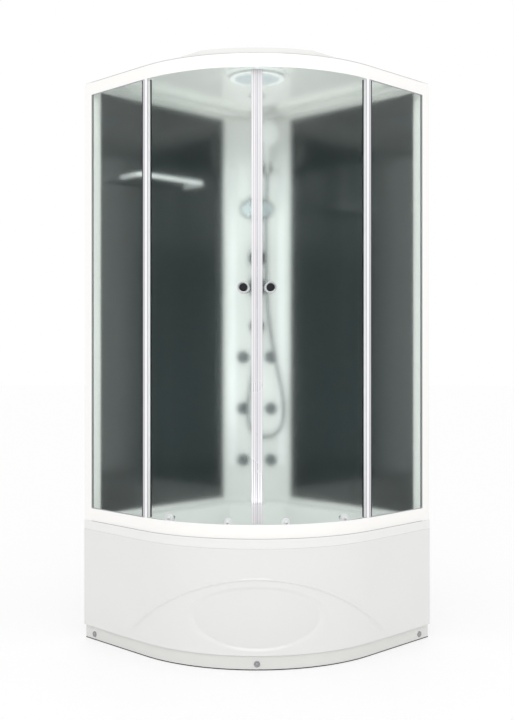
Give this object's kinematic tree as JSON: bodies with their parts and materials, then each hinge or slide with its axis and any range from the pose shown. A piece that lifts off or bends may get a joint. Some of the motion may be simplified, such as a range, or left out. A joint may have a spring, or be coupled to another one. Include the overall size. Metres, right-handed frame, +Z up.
{
  "type": "steam shower cabin",
  "caption": "Quadrant corner shower cabin: deep tray, sliding satin glass doors, dark rear walls, corner column with jets, mixer and hand shower, and a vaulted roof.",
  "frame": {"origin": "centre of the bounding box on the floor, under the plinth and the feet", "axes": "+Z up; the round front faces -Y; the corner of the two walls points to +Y; the cabin is symmetric in plan about X = 0"},
  "size_m": [1.2728, 1.045, 2.15],
  "materials": {
    "acrylic_white": "thermoformed gloss sheet",
    "frame_white": "satin powder coat on aluminium",
    "plinth_white": "gloss extrusion",
    "satin_glass": "acid-etched satin glass",
    "dark_glass": "back-painted glossy glass",
    "edge_bright": "bright anodised strip",
    "seal_clear": "translucent strip",
    "chrome": "polished chrome",
    "steel": "zinc-plated steel",
    "brass": "cast brass",
    "grey_plastic": "moulded grey",
    "white_plastic": "moulded white",
    "wheel_plastic": "moulded nylon",
    "mirror_glass": "silvered glass",
    "shelf_clear": "clear glass",
    "hose_metal": "spiral wound hose",
    "jet_grey": "satin chromed plastic"
  },
  "bodies": {
    "cabin": {"tray": "acrylic_white", "tray_frame": "steel", "levelling_feet": "steel", "drain_waste": "white_plastic", "apron": "acrylic_white", "plinth": "plinth_white", "plinth_screws": "grey_plastic", "lower_rail": "frame_white", "upper_rail": "frame_white", "wall_posts": "frame_white", "fixed_glass_left": "satin_glass", "fixed_glass_right": "satin_glass", "edge_profiles": "edge_bright", "rear_glass_left": "dark_glass", "rear_glass_right": "dark_glass", "wall_trims": "frame_white", "column_panel": "acrylic_white", "mirror": "mirror_glass", "mirror_frame": "chrome", "valve_block": "brass", "valve_plates": "chrome", "hose_outlet": "chrome", "shower_hose": "hose_metal", "shower_holder": "chrome", "jet_bezels": "jet_grey", "jet_pipes": "white_plastic", "roof": "acrylic_white", "rain_shower": "white_plastic", "fan_housing": "white_plastic", "shelf_glass": "shelf_clear", "shelf_rail": "edge_bright", "steam_generator": "white_plastic"},
    "door_left": {"door_glass_left": "satin_glass", "door_strips_left": "seal_clear", "door_knob_left": "chrome", "door_axles_left": "steel"},
    "wheel_top_left_rear": {"wheel_top_left_rear": "wheel_plastic"},
    "wheel_bottom_left_rear": {"wheel_bottom_left_rear": "wheel_plastic"},
    "wheel_top_left_front": {"wheel_top_left_front": "wheel_plastic"},
    "wheel_bottom_left_front": {"wheel_bottom_left_front": "wheel_plastic"},
    "door_right": {"door_glass_right": "satin_glass", "door_strips_right": "seal_clear", "door_knob_right": "chrome", "door_axles_right": "steel"},
    "wheel_top_right_rear": {"wheel_top_right_rear": "wheel_plastic"},
    "wheel_bottom_right_rear": {"wheel_bottom_right_rear": "wheel_plastic"},
    "wheel_top_right_front": {"wheel_top_right_front": "wheel_plastic"},
    "wheel_bottom_right_front": {"wheel_bottom_right_front": "wheel_plastic"},
    "mixer_cap": {"mixer_cap": "chrome"},
    "mixer_lever": {"mixer_lever": "chrome"},
    "diverter_knob": {"diverter_knob": "chrome"},
    "hand_shower": {"hand_shower": "white_plastic"},
    "drain_plug": {"drain_plug": "chrome"},
    "fan_rotor": {"fan_rotor": "grey_plastic"},
    "jet_nozzle_left_low": {"jet_nozzle_left_low": "jet_grey"},
    "jet_nozzle_left_mid": {"jet_nozzle_left_mid": "jet_grey"},
    "jet_nozzle_left_high": {"jet_nozzle_left_high": "jet_grey"},
    "jet_nozzle_right_low": {"jet_nozzle_right_low": "jet_grey"},
    "jet_nozzle_right_mid": {"jet_nozzle_right_mid": "jet_grey"},
    "jet_nozzle_right_high": {"jet_nozzle_right_high": "jet_grey"}
  },
  "joints": [
    {"name": "door_left_slide", "type": "hinge", "parent": "cabin", "child": "door_left", "pos_m": [0.08331, 0.20178, 1.2], "axis": [0, 0, -1], "range_deg": [0, 21.66]},
    {"name": "wheel_top_left_rear_spin", "type": "hinge", "parent": "door_left", "child": "wheel_top_left_rear", "pos_m": [-0.29785, -0.39629, 2.02], "axis": [-0.575, -0.8181, 0], "range_deg": [0, 1286]},
    {"name": "wheel_bottom_left_rear_spin", "type": "hinge", "parent": "door_left", "child": "wheel_bottom_left_rear", "pos_m": [-0.29785, -0.39629, 0.484], "axis": [-0.575, -0.8181, 0], "range_deg": [0, 1103]},
    {"name": "wheel_top_left_front_spin", "type": "hinge", "parent": "door_left", "child": "wheel_top_left_front", "pos_m": [-0.09617, -0.48148, 2.02], "axis": [-0.1857, -0.9826, 0], "range_deg": [0, 1281]},
    {"name": "wheel_bottom_left_front_spin", "type": "hinge", "parent": "door_left", "child": "wheel_bottom_left_front", "pos_m": [-0.09617, -0.48148, 0.484], "axis": [-0.1857, -0.9826, 0], "range_deg": [0, 1099]},
    {"name": "door_right_slide", "type": "hinge", "parent": "cabin", "child": "door_right", "pos_m": [-0.08331, 0.20178, 1.2], "axis": [0, 0, 1], "range_deg": [0, 21.66]},
    {"name": "wheel_top_right_rear_spin", "type": "hinge", "parent": "door_right", "child": "wheel_top_right_rear", "pos_m": [0.29785, -0.39629, 2.02], "axis": [0.575, -0.8181, 0], "range_deg": [-1286, 0]},
    {"name": "wheel_bottom_right_rear_spin", "type": "hinge", "parent": "door_right", "child": "wheel_bottom_right_rear", "pos_m": [0.29785, -0.39629, 0.484], "axis": [0.575, -0.8181, 0], "range_deg": [-1103, 0]},
    {"name": "wheel_top_right_front_spin", "type": "hinge", "parent": "door_right", "child": "wheel_top_right_front", "pos_m": [0.09617, -0.48148, 2.02], "axis": [0.1857, -0.9826, 0], "range_deg": [-1281, 0]},
    {"name": "wheel_bottom_right_front_spin", "type": "hinge", "parent": "door_right", "child": "wheel_bottom_right_front", "pos_m": [0.09617, -0.48148, 0.484], "axis": [0.1857, -0.9826, 0], "range_deg": [-1099, 0]},
    {"name": "mixer_turn", "type": "hinge", "parent": "cabin", "child": "mixer_cap", "pos_m": [0, 0.37753, 1.323], "axis": [0, 1, 0], "range_deg": [-45, 45]},
    {"name": "mixer_lift", "type": "hinge", "parent": "mixer_cap", "child": "mixer_lever", "pos_m": [0, 0.35423, 1.325], "axis": [-1, 0, 0], "range_deg": [0, 25]},
    {"name": "diverter_turn", "type": "hinge", "parent": "cabin", "child": "diverter_knob", "pos_m": [0, 0.37753, 1.443], "axis": [0, -1, 0], "range_deg": [-60, 60]},
    {"name": "hand_shower_lift", "type": "slide", "parent": "cabin", "child": "hand_shower", "axis": [0, 0, 1], "range_m": [0, 0.06]},
    {"name": "jet_nozzle_left_low_tilt", "type": "hinge", "parent": "cabin", "child": "jet_nozzle_left_low", "pos_m": [-0.0574, 0.38303, 0.604], "axis": [1, 0, 0], "range_deg": [-12, 12]},
    {"name": "jet_nozzle_left_mid_tilt", "type": "hinge", "parent": "cabin", "child": "jet_nozzle_left_mid", "pos_m": [-0.0574, 0.38303, 0.817], "axis": [1, 0, 0], "range_deg": [-12, 12]},
    {"name": "jet_nozzle_left_high_tilt", "type": "hinge", "parent": "cabin", "child": "jet_nozzle_left_high", "pos_m": [-0.0574, 0.38303, 1.03], "axis": [1, 0, 0], "range_deg": [-12, 12]},
    {"name": "jet_nozzle_right_low_tilt", "type": "hinge", "parent": "cabin", "child": "jet_nozzle_right_low", "pos_m": [0.0574, 0.38303, 0.604], "axis": [1, 0, 0], "range_deg": [-12, 12]},
    {"name": "jet_nozzle_right_mid_tilt", "type": "hinge", "parent": "cabin", "child": "jet_nozzle_right_mid", "pos_m": [0.0574, 0.38303, 0.817], "axis": [1, 0, 0], "range_deg": [-12, 12]},
    {"name": "jet_nozzle_right_high_tilt", "type": "hinge", "parent": "cabin", "child": "jet_nozzle_right_high", "pos_m": [0.0574, 0.38303, 1.03], "axis": [1, 0, 0], "range_deg": [-12, 12]},
    {"name": "drain_plug_lift", "type": "slide", "parent": "cabin", "child": "drain_plug", "axis": [0, 0, 1], "range_m": [0, 0.008]},
    {"name": "fan_spin", "type": "hinge", "parent": "cabin", "child": "fan_rotor", "pos_m": [0, 0.15649, 2.097], "axis": [0, 0, 1], "continuous": true}
  ],
  "couplings": [
    {"joint": "wheel_top_left_rear_spin", "follows": "door_left_slide", "ratio": 59.1},
    {"joint": "wheel_bottom_left_rear_spin", "follows": "door_left_slide", "ratio": 50.658},
    {"joint": "wheel_top_left_front_spin", "follows": "door_left_slide", "ratio": 58.87},
    {"joint": "wheel_bottom_left_front_spin", "follows": "door_left_slide", "ratio": 50.46},
    {"joint": "wheel_top_right_rear_spin", "follows": "door_right_slide", "ratio": -59.1},
    {"joint": "wheel_bottom_right_rear_spin", "follows": "door_right_slide", "ratio": -50.658},
    {"joint": "wheel_top_right_front_spin", "follows": "door_right_slide", "ratio": -58.87},
    {"joint": "wheel_bottom_right_front_spin", "follows": "door_right_slide", "ratio": -50.46}
  ]
}
